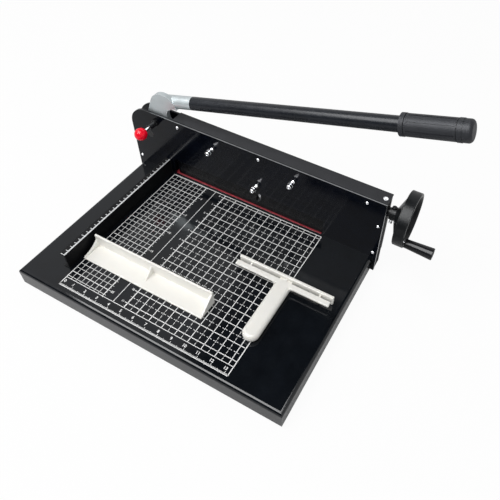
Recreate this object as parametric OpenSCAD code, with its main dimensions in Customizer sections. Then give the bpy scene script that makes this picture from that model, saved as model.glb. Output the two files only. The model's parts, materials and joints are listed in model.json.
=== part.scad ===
// Stack paper cutter: a lever guillotine with a hand-wheel press.
// Millimetres. X runs along the blade, Y from the operator to the back, Z = 0 is the table.

/* [Base tray] */
// Depth of the tray
base_d = 360; // [300:1:480]
// Height of the deck above the table
deck_h = 40; // [34:0.5:60]
// Height of the rubber feet below the tray
foot_h = 4; // [3:0.5:8]
// Sheet thickness
sheet_t = 2; // [1.5:0.1:3]
// Radius of the folds along the front and sides
fold_r = 7; // [4:0.5:10]
// Width of the return flange at the bottom
return_w = 24; // [22:1:40]
// Diameter of a foot
foot_d = 20; // [14:1:22]
// Distance of a foot's centre from the tray's sides
foot_inset = 12; // [11:0.5:16]

/* [Cutting stick] */
// Width of the stick
stick_w = 16.6; // [14:0.1:20]
// Height of the stick
stick_h = 6; // [5:0.5:12]
// How far the stick's front edge lies behind the face of the front plate
stick_set = 2.2; // [1:0.1:3]
// Wall of the channel that holds the stick
channel_t = 2; // [1.5:0.5:4]

/* [Side fence] */
// Width of the fence's flanges
fence_w = 12; // [10:0.5:20]
// Height of the fence
fence_h = 34; // [15:0.5:38]
// Sheet thickness of the fence
fence_t = 2.5; // [1.5:0.5:4]
// Distance of the fence from the left end of the gate
fence_gap = 8; // [6:0.5:20]
// Distance of the fence's front end from the tray's front
fence_setback = 45; // [20:1:120]

/* [Gantry] */
// Depth of the gantry, outside of front plate to outside of back plate
gantry_d = 31; // [30:0.5:36]
// Height of the front plate above the deck
plate_h = 137.5; // [137:0.5:170]
// Thickness of the front plate
plate_t = 5; // [4:0.5:6]
// Thickness of the back plate
back_t = 4; // [3:0.5:5]
// Radius of the rounded ear at the lever's end
ear_r = 40; // [25:1:40]
// How far the front plate's legs reach below the deck
leg_drop = 35; // [10:1:36]
// Width of the paper gate
gate_w = 337; // [300:1:420]
// Height of the paper gate
gate_h = 40; // [30:0.5:42]
// Width of the right post
post_w = 14; // [12:0.5:16]
// Height of the left post
left_post_h = 60; // [40:1:62]

/* [Top cover] */
// Sheet thickness of the cover
cover_t = 2; // [1.5:0.1:2.5]
// Depth of the cover's flanges
cover_flange = 18; // [14:0.5:18]
// Distance of the cover's left end from the front plate's left end
cover_start = 101; // [100:0.5:115]

/* [Lever] */
// Swing of the lever in degrees
swing = 60; // [40:1:60]
// Distance of the pivot from the front plate's left end
pivot_inset = 42; // [40:0.5:45]
// Height of the pivot above the deck
pivot_h = 84; // [82:0.5:88]
// Diameter of the pivot pin
pivot_d = 16; // [12:0.5:18]
// Radius of the hub round the pivot
hub_r = 18; // [15:0.5:18.5]
// Sideways distance of the knuckle from the pivot
knuckle_x = 40.5; // [34:0.5:41]
// Height of the knuckle above the pivot
knuckle_z = 69.5; // [66:0.5:76]
// Radius of the knuckle
knuckle_r = 31; // [26:0.5:32]
// Thickness of the knuckle
knuckle_t = 10; // [8:0.5:11]
// Angle of the lowered lever above the deck in degrees
lever_angle = 15.5; // [10:0.5:20]
// Distance of the lever's axis from the pivot
lever_rise = 66; // [64:0.5:72]
// Diameter of the head's neck
neck_d = 25; // [24:0.5:27]
// Reach of the neck along the lever
neck_reach = 124; // [110:1:150]
// Diameter of the lever tube
tube_d = 25; // [22:0.5:27]
// Wall of the lever tube
tube_wall = 2.5; // [1.5:0.5:4]
// Reach of the grip's end along the lever
lever_reach = 627; // [500:1:760]
// Length of the grip
grip_len = 105; // [90:1:140]
// Diameter of the grip
grip_d = 34.5; // [31:0.5:40]

/* [Lock plunger] */
// Sideways distance of the plunger from the pivot
lock_x = 20.5; // [20:0.5:23]
// Height of the plunger above the pivot
lock_z = 35.5; // [34:0.5:36]
// Diameter of the housing
housing_d = 12; // [11:0.5:15]
// Length of the housing
housing_len = 21; // [16:0.5:26]
// Diameter of the lock pin
lock_pin_d = 6; // [5:0.5:7]
// Diameter of the ball
ball_d = 24; // [18:0.5:26]
// Distance of the ball's centre from the front plate
ball_out = 43; // [42:0.5:50]
// Travel of the plunger
lock_travel = 8; // [5:0.5:8]

/* [Knife] */
// Throw of the crank that drives the knife
crank_r = 42; // [41:0.5:42.5]
// Diameter of the crank pin
crank_pin_d = 8; // [6:0.5:9]
// Diameter of the crank roller
crank_roller_d = 12; // [11:0.5:13]
// Thickness of the knife beam
beam_t = 8; // [7.5:0.5:8]
// Height of the knife beam
beam_h = 82; // [76:0.5:83]
// Gap between the deck and the lowered beam
beam_lift = 10; // [8:0.5:14]
// Sideways drift of the knife as it rises
knife_drift = 10; // [4:0.5:12]
// Height of the blade
blade_h = 30; // [28:0.5:32]
// Thickness of the blade
blade_t = 4; // [3:0.5:5]
// Diameter of the guide rollers
guide_d = 12; // [10:0.5:13]
// Distance between the two guide rollers
guide_span = 220; // [160:1:260]

/* [Press] */
// Thickness of the press plate
press_t = 4; // [3:0.5:4]
// Height of the press plate
press_h = 65.5; // [58:0.5:66]
// Height of the arm that carries the rack
arm_h = 20; // [16:0.5:22]
// Travel of the press
press_travel = 36; // [25:0.5:36]

/* [Press drive] */
// Gear module
gear_m = 1; // [1:0.05:1.05]
// Teeth of each gear
gear_teeth = 12; // [12:1:13]
// Height of the wheel shaft above the deck
wheel_h = 108.3; // [106:0.1:110]
// Depth of the wheel shaft behind the front of the gantry
wheel_depth = 18; // [17.5:0.1:19]
// Diameter of the wheel shaft
shaft_d = 8; // [6:0.5:8.5]
// Diameter of the pinion shaft
pinion_shaft_d = 6; // [4:0.5:6]
// Distance of the rack from the right end of the tray
rack_inset = 44.5; // [42:0.5:60]
// Width of the rack
rack_w = 9; // [6:0.5:12]

/* [Hand wheel] */
// Radius of the wheel
rim_r = 48.6; // [44:0.2:60]
// Width of the wheel's rim
rim_w = 18.5; // [12:0.1:22]
// Diameter of the hub
hub_d = 24; // [20:0.5:30]
// Length of the hub
hub_len = 9.5; // [9:0.5:16]
// Depth of the wheel's conical back
cone_len = 11.7; // [10:0.1:20]
// Reach of the bearing bush outside the tray
bush_out = 11.5; // [10:0.5:16]
// Radius of the crank circle
crank_circle_r = 39; // [34:0.2:40]
// Angle of the crank grip round the wheel in degrees
crank_angle = -140; // [-180:1:180]
// Length of the crank grip
crank_grip_len = 49.2; // [38:0.2:60]
// Diameter of the crank grip at its free end
crank_grip_d = 20.8; // [17:0.2:24]

/* [Paper pusher] */
// Length of the pusher
pusher_len = 248; // [180:1:300]
// Depth of the pusher's foot
pusher_d = 38; // [30:1:50]
// Height of the pusher's wall
pusher_h = 30; // [20:0.5:45]
// Wall thickness of the pusher
pusher_t = 4; // [3:0.5:6]

/* [Push tool] */
// Length of the tool's plate
tool_bar_len = 180; // [150:1:220]
// Depth of the tool's head, front strip to plate
tool_bar_w = 20; // [18:0.5:30]
// Height of the tool's plate
tool_bar_h = 18.7; // [16:0.1:24]
// Length of the tool's handle
tool_handle_len = 112.5; // [80:0.5:130]
// Width of the tool's handle
tool_handle_w = 29; // [20:0.5:34]
// Height of the tool's handle
tool_handle_h = 15; // [10:0.5:20]

/* [Hidden] */
$fn = 64;

// Clearances
slip = 0.1;
run_gap = 0.05;
slide_gap = 0.4;
part_gap = 0.3;
side_gap = 1;
eps = 0.01;

// Colours
black = [0.06, 0.06, 0.07];
grey_black = [0.16, 0.16, 0.17];
steel = [0.62, 0.64, 0.66];
chrome = [0.82, 0.84, 0.86];
silver = [0.70, 0.73, 0.74];
white = [0.96, 0.95, 0.92];
red = [0.90, 0.10, 0.16];
rubber = [0.10, 0.10, 0.10];
bronze = [0.70, 0.52, 0.28];

// Places of the gantry
gate_left = 82;
gate_right = 101;
plate_over_left = 10;
plate_over_right = 7;
post_step = 0.8;
base_w = gate_left + gate_w + gate_right;
gate_shift = (gate_left - gate_right) / 2;
skirt_z = foot_h;
front_y = base_d / 2 - gantry_d;
front_back = front_y + plate_t;
back_y1 = base_d / 2;
back_y0 = back_y1 - back_t;
plate_x0 = -base_w / 2 - plate_over_left;
plate_x1 = base_w / 2 + plate_over_right;
post_x1 = plate_x1 - post_step;
back_x1 = post_x1;
top_z = deck_h + plate_h;
under_cover = top_z - cover_t;
gate_x0 = gate_shift - gate_w / 2;
gate_x1 = gate_shift + gate_w / 2;
rear_gate_over = 4;
right_post_x0 = base_w / 2 - post_w;
left_post_w = 20;
left_post_x0 = plate_x0 + 2;
cover_x0 = plate_x0 + cover_start;
cover_flange_x1 = right_post_x0 - side_gap;

// Layers inside the gantry, from front to back
front_cheek_t = 4;
beam_gap = 0.6;
press_y0 = front_back + slide_gap;
press_y1 = press_y0 + press_t;
beam_y0 = front_back + slide_gap + front_cheek_t + beam_gap;
beam_y1 = beam_y0 + beam_t;
head_y0 = front_back + side_gap;
head_y1 = back_y0 - side_gap;
front_cheek_y1 = beam_y0 - beam_gap;
back_cheek_y0 = beam_y1 + side_gap;

// Lever
pivot_x = plate_x0 + pivot_inset;
pivot_z = deck_h + pivot_h;
knuckle_cx = pivot_x + knuckle_x;
knuckle_cz = pivot_z + knuckle_z;
knuckle_y0 = head_y0 + 0.5;
knuckle_y1 = knuckle_y0 + knuckle_t;
lever_y = knuckle_y0 + 1 + neck_d / 2;
lever_foot_x = pivot_x - lever_rise * sin(lever_angle);
lever_foot_z = pivot_z + lever_rise * cos(lever_angle);
neck_start = 52;
spigot_len = 45;
spigot_d = tube_d - 2 * tube_wall - 2 * run_gap;
tube_start = neck_reach + part_gap;
tube_end_gap = 4;
grip_start = lever_reach - grip_len;
notch_x = 67;
notch_z = 55;
notch_r = 22;
cheek_r = 51;
cheek_a0 = -52;
cheek_a1 = 22;
tube_screw_d = 6;
tube_screw_at = neck_reach + 16;

// Lock plunger
lock_cx = pivot_x + lock_x;
lock_cz = pivot_z + lock_z;
lock_r = norm([lock_x, lock_z]);
lock_a = atan2(lock_z, lock_x);
lock_hole_d = lock_pin_d + 0.6;
lock_tip_y = front_back + slide_gap;
lock_hole_depth = lock_travel + 0.6;

// Knife
knife_rise = 2 * crank_r * sin(swing / 2);
crank_x = pivot_x + crank_r * cos(swing / 2);
crank_z = pivot_z - crank_r * sin(swing / 2);
crank_play = 0.6;
slot_x0 = crank_x - knife_drift - 0.8;
slot_x1 = crank_x + 2.8;
slot_w = crank_roller_d + 2 * crank_play;
lug_wall = 4.4;
lug_h = slot_w + 2 * lug_wall;
lug_end_wall = 3;
lug_x0 = slot_x0 - slot_w / 2 - lug_end_wall;
lug_corner = 8;
beam_x0 = gate_x0 + 2;
beam_x1 = gate_x1 + 8;
beam_z0 = deck_h + beam_lift;
beam_z1 = beam_z0 + beam_h;
blade_z0 = deck_h + part_gap;
blade_z1 = blade_z0 + blade_h;
blade_x0 = gate_x0 - 3;
blade_x1 = gate_x1 + 7;
bevel_h = 12;
edge_t = 0.4;
guide_z = deck_h + 82;
guide_mid = gate_shift + 1.5;
guide_xs = [guide_mid - guide_span / 2, guide_mid + guide_span / 2];
guide_bolt_d = 8;
guide_slot_w = guide_d + 2 * slip;
blade_screw_z = blade_z1 - 8;
blade_screw_n = 5;
blade_screw_end = 17.5;
blade_screw_step = (gate_w - 2 * blade_screw_end) / (blade_screw_n - 1);
blade_screw_xs = [for (i = [0:blade_screw_n - 1]) gate_x0 + blade_screw_end + i * blade_screw_step];
blade_screw_d = 5;
blade_screw_head = 9;
blade_screw_len = beam_t - 1;

// Press
press_x0 = gate_x0 + 6;
press_x1 = gate_x1 - 2;
press_z0 = deck_h + 0.5;
press_z1 = press_z0 + press_h;
rack_x1 = base_w / 2 - rack_inset;
rack_x0 = rack_x1 - rack_w;
arm_z0 = deck_h + 30;
arm_z1 = arm_z0 + arm_h;
adjuster_high = 108;
adjuster_low = 59.5;
adjusters = [
    [gate_x0 + 0.2967 * gate_w, adjuster_high], [gate_x0 + 0.5786 * gate_w, adjuster_low],
    [gate_x0 + 0.8071 * gate_w, adjuster_high]
];
adjuster_d = 6;
adjuster_out = 18;
adjuster_cap_d = 9;
adjuster_cap_h = 5;
adjuster_cap_edge = 1;
adjuster_nut_af = 10;
adjuster_nut_h = 4.5;
adjuster_nut_seat = adjuster_out - adjuster_cap_h - adjuster_nut_h - 1;
adjuster_slot_w = adjuster_d + 4;
adjuster_slot_z = deck_h + adjusters[1][1] - press_travel - adjuster_slot_w / 2;

// Press drive
wheel_y = front_y + wheel_depth;
wheel_z = deck_h + wheel_h;
pitch_r = gear_m * gear_teeth / 2;
pressure_a = 25;
addendum = 0.8 * gear_m;
dedendum = 1.1 * gear_m;
backlash = 0.28;
pinion_z = wheel_z - 2 * pitch_r;
rack_pitch_y = wheel_y - pitch_r;
rack_root_y = rack_pitch_y - dedendum;
rack_back_y = front_back + cover_t + 0.5;
rack_z1 = pinion_z + 2.5;
tang_z0 = arm_z0 + 4;
tang_t = 3.5;
rack_screw_d = 3;
pinion_x0 = rack_x0 - 0.5;
pinion_len = rack_w + 10;
gear_x0 = rack_x1 + 1;
gear_len = pinion_x0 + pinion_len - gear_x0;
block_t = 6;
block_xs = [pinion_x0 - 4 - block_t, pinion_x0 + pinion_len + 2];
block_y0 = wheel_y - 7;
block_z0 = pinion_z - 8.3;
block_z1 = wheel_z + 8.7;
block_screw_d = 3;
block_screw_zs = [block_z0 + 2.4, block_z1 - 2.4];
block_screw_len = 8;

// Hand wheel
bush_d = 14;
bush_collar_d = 17;
hub_x0 = base_w / 2 + bush_out;
hub_x1 = hub_x0 + hub_len;
rim_x0 = hub_x1 + cone_len;
rim_x1 = rim_x0 + rim_w;
rim_edge = 0.9;
rim_lip = 4;
dish_depth = 8.2;
dish_r = rim_r - 8.6;
dish_x = rim_x1 - dish_depth;
face_x = dish_x - 8;
boss_r = hub_d / 2 + 2;
boss_x1 = face_x + 3;
wheel_bolt_d = 5;
wheel_bolt_x = hub_x0 + 0.5 * hub_len;
crank_y = wheel_y + crank_circle_r * cos(crank_angle);
crank_cz = wheel_z + crank_circle_r * sin(crank_angle);
axle_d = 8;
crank_grip_x0 = rim_x1 + 0.8;
crank_grip_x1 = crank_grip_x0 + crank_grip_len;
crank_grip_neck_d = 15.6;
axle_head_d = 12;
axle_head_h = 3;
axle_recess = 1;

// Loose tools
tool_z = deck_h + part_gap;
pusher_x0 = gate_x0 - 1;
pusher_y1 = front_y - 219;
pusher_y0 = pusher_y1 - pusher_d;
pusher_round = 1.8;
tool_bar_x0 = gate_x0 + 0.7107 * gate_w;
tool_bar_x1 = tool_bar_x0 + tool_bar_len;
tool_bar_y0 = front_y - 142.5;
tool_bar_y1 = tool_bar_y0 + tool_bar_w;
tool_handle_x = tool_bar_x0 + 0.514 * tool_bar_len;
tool_plate_t = 5.5;
tool_strip_w = 10;
tool_strip_t = 4.8;
tool_strip_z1 = tool_z + tool_handle_h - 0.5;
tool_strip_z0 = tool_strip_z1 - tool_strip_t;
tool_rib_t = 3;
tool_fillet = 7;

// Cutting stick
stick_y0 = front_y + stick_set;
stick_y1 = stick_y0 + stick_w;
stick_x0 = gate_x0 - 3;
stick_x1 = gate_x1 - 4;
stick_z0 = deck_h - stick_h;

// Fence
fence_x1 = gate_x0 - fence_gap;
fence_x0 = fence_x1 - fence_w;
fence_y0 = -base_d / 2 + fence_setback;
fence_y1 = front_y - part_gap;
fence_screw_d = 4;
fence_screw_x = fence_x0 + 0.4 * fence_w;
fence_len = fence_y1 - fence_y0;
fence_screw_ys = [fence_y0 + 0.1 * fence_len, fence_y0 + 0.5 * fence_len, fence_y0 + 0.9 * fence_len];

// Screws of the plates
plate_screw_d = 4;
button_d = 6.2;
button_h = 2;
cover_row_z = top_z - 11.1;
cover_len = plate_x1 - cover_x0;
cover_screw_xs = [cover_x0 + 13.4, cover_x0 + 0.4374 * cover_len, plate_x1 - 33.7];
post_screw_x = base_w / 2 - 1;
post_screw_zs = [deck_h + 12.5, deck_h + 82.2];
left_screw_x = -base_w / 2 - 2;
left_screw_z = deck_h + 13.5;
cover_screw_len = plate_t + cover_t + 1;
post_screw_len = plate_t + 7;
back_screw_len = back_t + 7;
lid_screw_x = base_w / 2 - 1;
lid_screw_y = front_back + 10;
lid_screw_d = 5;
lid_screw_head = 9;
lid_screw_len = 13;
bolt_d = 6;
bolt_head_d = 9;
bolt_head_h = 4;
bolt_reach = 10;
bolt_ys = [front_back + 5, back_y0 - 5];
foot_xs = [-base_w / 2 + foot_inset, base_w / 2 - foot_inset];
foot_ys = [-base_d / 2 + foot_inset, base_d / 2 - foot_inset];
foot_screw_d = 4;
foot_head_d = 8;

// Helpers

module block(lo, hi) {
    translate(lo) cube(hi - lo);
}

// Cylinder along Y at (x, z)
module rod_y(d, x, z, y0, y1) {
    translate([x, y1, z]) rotate([90, 0, 0]) cylinder(d = d, h = y1 - y0);
}

// Cylinder along X at (y, z)
module rod_x(d, y, z, x0, x1) {
    translate([x0, y, z]) rotate([0, 90, 0]) cylinder(d = d, h = x1 - x0);
}

// Extrude a drawing of X and Z along Y
module slab_y(y0, y1) {
    translate([0, y1, 0]) rotate([90, 0, 0]) linear_extrude(y1 - y0) children();
}

// Extrude a drawing of Y and Z along X
module slab_x(x0, x1) {
    translate([x0, 0, 0]) rotate([90, 0, 90]) linear_extrude(x1 - x0) children();
}

// Revolve a drawing of radius and X about an axis along X at (y, z)
module turned_x(y, z) {
    translate([0, y, z]) rotate([0, 90, 0]) rotate_extrude() children();
}

// Round-ended slot between two points
module slot_2d(p, q, w) {
    run = q - p;
    translate(p) circle(d = w);
    translate(q) circle(d = w);
    translate(p) rotate(atan2(run[1], run[0])) translate([0, eps - w / 2]) square([norm(run), w - 2 * eps]);
}

// Rectangle with rounded corners
module round_rect(x0, y0, x1, y1, r) {
    translate([x0 + r, y0]) square([x1 - x0 - 2 * r, y1 - y0]);
    translate([x0, y0 + r]) square([x1 - x0, y1 - y0 - 2 * r]);
    for (x = [x0 + r, x1 - r], y = [y0 + r, y1 - r]) translate([x, y]) circle(r);
}

// Domed screw standing on its head's seat, head up, with a hexagon socket
module button_screw(d, length, head_d, head_h) {
    dome_r = (head_d * head_d / 4 + head_h * head_h) / (2 * head_h);
    difference() {
        rotate_extrude() intersection() {
            translate([0, head_h - dome_r]) circle(dome_r);
            square([head_d / 2, head_h]);
        }
        translate([0, 0, head_h * 0.4]) cylinder(d = head_d * 0.42, h = head_h, $fn = 6);
    }
    translate([0, 0, -length]) cylinder(d = d, h = length);
}

// Countersunk screw, face up at zero, with a cross slot
module flush_screw(d, length, head_d) {
    head_h = (head_d - d) / 2;
    slot_t = head_d * 0.16;
    difference() {
        translate([0, 0, -head_h]) cylinder(d1 = d, d2 = head_d, h = head_h);
        for (a = [0, 90]) rotate(a)
            translate([-head_d * 0.32, -slot_t / 2, -head_h * 0.5]) cube([head_d * 0.64, slot_t, head_h]);
    }
    translate([0, 0, -length]) cylinder(d = d, h = length - head_h);
}

module flush_hole(d, length, head_d) {
    head_h = (head_d - d) / 2;
    translate([0, 0, -head_h]) cylinder(d1 = d + 2 * slip, d2 = head_d + 2 * slip, h = head_h + eps);
    translate([0, 0, -length]) cylinder(d = d + 2 * slip, h = length);
}

// Put a child that points along +Z on a face that looks towards -Y
module on_front(x, z, y) {
    translate([x, y, z]) rotate([90, 0, 0]) children();
}

// Put a child that points along +Z on a face that looks towards +Y
module on_back(x, z, y) {
    translate([x, y, z]) rotate([-90, 0, 0]) children();
}

// Lever frame: X along the lever, origin below the pivot's foot
module on_lever() {
    translate([lever_foot_x, lever_y, lever_foot_z]) rotate([0, -lever_angle, 0]) children();
}

// Revolve a drawing of radius and distance along the lever
module turned_lever() {
    on_lever() rotate([0, 90, 0]) rotate_extrude() children();
}

// Gear drawing

function involute(a) = tan(a) * 180 / PI - a;

function half_tooth(r) =
    let (base_r = pitch_r * cos(pressure_a), a = r > base_r ? acos(base_r / r) : 0)
    90 / gear_teeth - backlash / pitch_r * 45 / PI + involute(pressure_a) - involute(a);

function polar(r, a) = [r * cos(a), r * sin(a)];

gear_steps = 4;
gear_root_r = pitch_r - dedendum;
gear_tip_r = pitch_r + addendum;
flank = [for (i = [0:gear_steps]) gear_root_r + (gear_tip_r - gear_root_r) * i / gear_steps];

module gear_2d() {
    polygon([
        for (t = [0:gear_teeth - 1], side = [-1, 1], i = [0:gear_steps])
            let (r = flank[side < 0 ? i : gear_steps - i])
            polar(r, t * 360 / gear_teeth + side * half_tooth(r))
    ]);
}

module rack_teeth_2d() {
    pitch = PI * gear_m;
    half_mid = pitch / 4 - backlash / 2;
    half_tip = half_mid - addendum * tan(pressure_a);
    half_root = half_mid + dedendum * tan(pressure_a);
    for (i = [-14:0]) translate([rack_pitch_y, pinion_z + (i - 0.5) * pitch]) polygon([
        [-dedendum - eps, -half_root], [addendum, -half_tip],
        [addendum, half_tip], [-dedendum - eps, half_root]
    ]);
}

// Base

module fold_2d(w, z0, z1, r) {
    translate([-w / 2, z0]) square([w, z1 - z0 - r]);
    translate([-w / 2 + r, z0]) square([w - 2 * r, z1 - z0]);
    for (x = [-w / 2 + r, w / 2 - r]) translate([x, z1 - r]) circle(r);
}

// Tray volume with folded front and side edges, square under the gantry
module tray_volume(inset, z0, z1) {
    w = base_w - 2 * inset;
    d = base_d - 2 * inset;
    r = fold_r - inset;
    intersection() {
        slab_y(-d / 2, front_y) fold_2d(w, z0, z1, r);
        slab_x(-w / 2, w / 2) fold_2d(d, z0, z1, r);
    }
    block([-w / 2, front_y - eps, z0], [w / 2, d / 2, z1]);
}

module base_tray() {
    color(black) difference() {
        tray_volume(0, skirt_z, deck_h);
        tray_volume(sheet_t, skirt_z + sheet_t, deck_h - sheet_t);
        block([-base_w / 2 + return_w, -base_d / 2 + return_w, 0],
              [base_w / 2 - return_w, base_d / 2 - return_w, skirt_z + 2 * sheet_t]);
        block([stick_x0 - slip, stick_y0 - slip, stick_z0], [stick_x1 + slip, stick_y1 + slip, deck_h + 1]);
        for (x = foot_xs, y = foot_ys) translate([x, y, 0])
            cylinder(d = foot_screw_d + 2 * slip, h = deck_h / 2);
        for (y = fence_screw_ys) translate([fence_screw_x, y, deck_h - 3 * sheet_t])
            cylinder(d = fence_screw_d + 2 * slip, h = deck_h);
        post_bolt_holes();
    }
}

module stick_channel() {
    channel_z0 = stick_z0 - channel_t;
    color(steel) difference() {
        block([stick_x0, stick_y0 - slip - channel_t, channel_z0],
              [stick_x1, stick_y1 + slip + channel_t, deck_h - sheet_t]);
        block([stick_x0 - 1, stick_y0 - slip, stick_z0], [stick_x1 + 1, stick_y1 + slip, deck_h]);
    }
}

module cutting_stick() {
    color(red) block([stick_x0, stick_y0, stick_z0], [stick_x1, stick_y1, deck_h]);
}

module rubber_feet() {
    head_seat = foot_h / 2;
    color(rubber) for (x = foot_xs, y = foot_ys) translate([x, y, 0]) difference() {
        cylinder(d1 = foot_d - 2, d2 = foot_d, h = foot_h);
        translate([0, 0, -eps]) cylinder(d = foot_head_d + 2 * slip, h = head_seat + eps);
        cylinder(d = foot_screw_d + 2 * slip, h = foot_h + eps);
    }
}

module foot_screws() {
    head_seat = foot_h / 2;
    head_h = head_seat - 0.5;
    color(steel) for (x = foot_xs, y = foot_ys) translate([x, y, head_seat]) {
        translate([0, 0, -head_h]) cylinder(d = foot_head_d, h = head_h);
        cylinder(d = foot_screw_d, h = foot_h + sheet_t);
    }
}

module side_fence() {
    flange_zs = [deck_h, deck_h + fence_h - fence_t];
    color(black) difference() {
        slab_y(fence_y0, fence_y1) {
            translate([fence_x1 - fence_t, deck_h]) square([fence_t, fence_h]);
            for (z = flange_zs) translate([fence_x0, z]) square([fence_w, fence_t]);
        }
        for (y = fence_screw_ys) translate([fence_screw_x, y, deck_h - eps])
            cylinder(d = fence_screw_d + 2 * slip, h = fence_t + 2 * eps);
    }
}

module fence_screws() {
    seat_z = deck_h + fence_t;
    color(steel) for (y = fence_screw_ys) translate([fence_screw_x, y, seat_z])
        button_screw(fence_screw_d, fence_t + 3 * sheet_t, 1.7 * fence_screw_d, 0.55 * fence_screw_d);
}

// Gantry

// Plate outline with the rounded ear at the lever's end
module ear_2d(x1, z0, z1) {
    r = min(ear_r, pivot_inset);
    translate([plate_x0, z0]) square([x1 - plate_x0, z1 - r - z0]);
    translate([plate_x0 + r, z0]) square([x1 - plate_x0 - r, z1 - z0]);
    translate([plate_x0 + r, z1 - r]) circle(r);
}

module front_plate() {
    color(black) difference() {
        slab_y(front_y, front_back) difference() {
            ear_2d(plate_x1, deck_h - leg_drop, top_z);
            translate([-base_w / 2 - part_gap, deck_h - leg_drop - 1])
                square([base_w + 2 * part_gap, leg_drop + 1]);
            translate([gate_x0, deck_h - 1]) square([gate_w, gate_h + 1]);
        }
        front_screw_holes();
        rod_y(pivot_d + 2 * slip, pivot_x, pivot_z, front_y - 1, front_back + 1);
        rod_y(lock_pin_d + 2 * run_gap, lock_cx, lock_cz, front_y - 1, front_back + 1);
        for (a = adjusters)
            rod_y(adjuster_d + 2 * slip, a[0], deck_h + a[1], front_y - 1, front_back + 1);
    }
}

module back_plate() {
    color(black) difference() {
        slab_y(back_y0, back_y1) difference() {
            ear_2d(back_x1, deck_h, under_cover);
            translate([gate_x0 - rear_gate_over, deck_h - 1])
                square([gate_w + 2 * rear_gate_over, gate_h + rear_gate_over + 1]);
        }
        back_screw_holes();
        rod_y(pivot_d + 2 * slip, pivot_x, pivot_z, back_y0 - 1, back_y1 + 1);
        for (x = guide_xs) rod_y(guide_bolt_d + 2 * slip, x, guide_z, back_y0 - 1, back_y1 + 1);
        for (x = block_xs, z = block_screw_zs)
            rod_y(block_screw_d + 2 * slip, x + block_t / 2, z, back_y0 - 1, back_y1 + 1);
    }
}

module left_post() {
    color(black) difference() {
        block([left_post_x0, front_back, deck_h],
              [left_post_x0 + left_post_w, back_y0, deck_h + left_post_h]);
        front_screw_holes();
        back_screw_holes();
        post_bolt_holes();
    }
}

module right_post() {
    color(black) difference() {
        union() {
            block([right_post_x0, front_back, deck_h], [post_x1, back_y0, under_cover]);
            block([base_w / 2 + part_gap, front_back, deck_h - leg_drop], [post_x1, back_y0, deck_h + 1]);
        }
        front_screw_holes();
        back_screw_holes();
        post_bolt_holes();
        rod_x(bush_d + 2 * slip, wheel_y, wheel_z, right_post_x0 - 1, post_x1 + 1);
        translate([lid_screw_x, lid_screw_y, top_z])
            flush_hole(lid_screw_d, lid_screw_len + 1, lid_screw_head);
    }
}

post_bolt_xs = [-base_w / 2 + 6.6, base_w / 2 - 6.8];

module post_bolt_holes() {
    for (x = post_bolt_xs, y = bolt_ys) translate([x, y, deck_h - 2 * sheet_t])
        cylinder(d = bolt_d + 2 * slip, h = bolt_reach + 2 * sheet_t + slip);
}

module post_bolts() {
    color(steel) for (x = post_bolt_xs, y = bolt_ys) translate([x, y, deck_h - sheet_t]) {
        translate([0, 0, -bolt_head_h]) cylinder(d = bolt_head_d, h = bolt_head_h, $fn = 6);
        cylinder(d = bolt_d, h = sheet_t + bolt_reach);
    }
}

module front_screw_holes() {
    d = plate_screw_d + 2 * slip;
    for (x = cover_screw_xs) rod_y(d, x, cover_row_z, front_y - 1, front_y + cover_screw_len + slip);
    for (z = post_screw_zs) rod_y(d, post_screw_x, z, front_y - 1, front_y + post_screw_len + slip);
    rod_y(d, left_screw_x, left_screw_z, front_y - 1, front_y + post_screw_len + slip);
}

module front_plate_screws() {
    color(chrome) {
        for (x = cover_screw_xs) on_front(x, cover_row_z, front_y)
            button_screw(plate_screw_d, cover_screw_len, button_d, button_h);
        for (z = post_screw_zs) on_front(post_screw_x, z, front_y)
            button_screw(plate_screw_d, post_screw_len, button_d, button_h);
        on_front(left_screw_x, left_screw_z, front_y)
            button_screw(plate_screw_d, post_screw_len, button_d, button_h);
    }
}

back_screw_spots = [
    [left_screw_x, left_screw_z], [left_screw_x, left_screw_z + 34],
    [back_x1 - 5, post_screw_zs[0]], [back_x1 - 5, post_screw_zs[1]]
];

module back_screw_holes() {
    for (p = back_screw_spots)
        rod_y(plate_screw_d + 2 * slip, p[0], p[1], back_y1 - back_screw_len - slip, back_y1 + 1);
}

module back_plate_screws() {
    color(chrome) for (p = back_screw_spots) on_back(p[0], p[1], back_y1)
        button_screw(plate_screw_d, back_screw_len, button_d, button_h);
}

module top_cover() {
    color(grey_black) difference() {
        union() {
            block([cover_x0, front_back, under_cover], [plate_x1, back_y1, top_z]);
            block([cover_x0, front_back, under_cover - cover_flange],
                  [cover_flange_x1, front_back + cover_t, under_cover]);
            block([cover_x0, back_y0 - cover_t, under_cover - cover_flange],
                  [cover_flange_x1, back_y0, under_cover]);
        }
        front_screw_holes();
        translate([lid_screw_x, lid_screw_y, top_z])
            flush_hole(lid_screw_d, lid_screw_len + 1, lid_screw_head);
    }
}

module cover_screw() {
    color(chrome) translate([lid_screw_x, lid_screw_y, top_z])
        flush_screw(lid_screw_d, lid_screw_len, lid_screw_head);
}

// Rounded cap on the outer end of an adjuster screw, from its seat at z = 0
module adjuster_cap() {
    straight = adjuster_cap_h - adjuster_cap_edge;
    cylinder(d = adjuster_cap_d, h = straight);
    translate([0, 0, straight])
        cylinder(d1 = adjuster_cap_d, d2 = adjuster_cap_d - 2 * adjuster_cap_edge, h = adjuster_cap_edge);
}

module adjuster_screws() {
    tip_y = beam_y0 - part_gap;
    color(chrome) for (a = adjusters) difference() {
        union() {
            rod_y(adjuster_d, a[0], deck_h + a[1], front_y - adjuster_out + adjuster_cap_h - 1, tip_y);
            on_front(a[0], deck_h + a[1], front_y - adjuster_out + adjuster_cap_h) adjuster_cap();
        }
        translate([a[0], front_y - adjuster_out - eps, deck_h + a[1]]) rotate([-90, 0, 0])
            cylinder(d = 3, h = 3, $fn = 6);
    }
}

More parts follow.
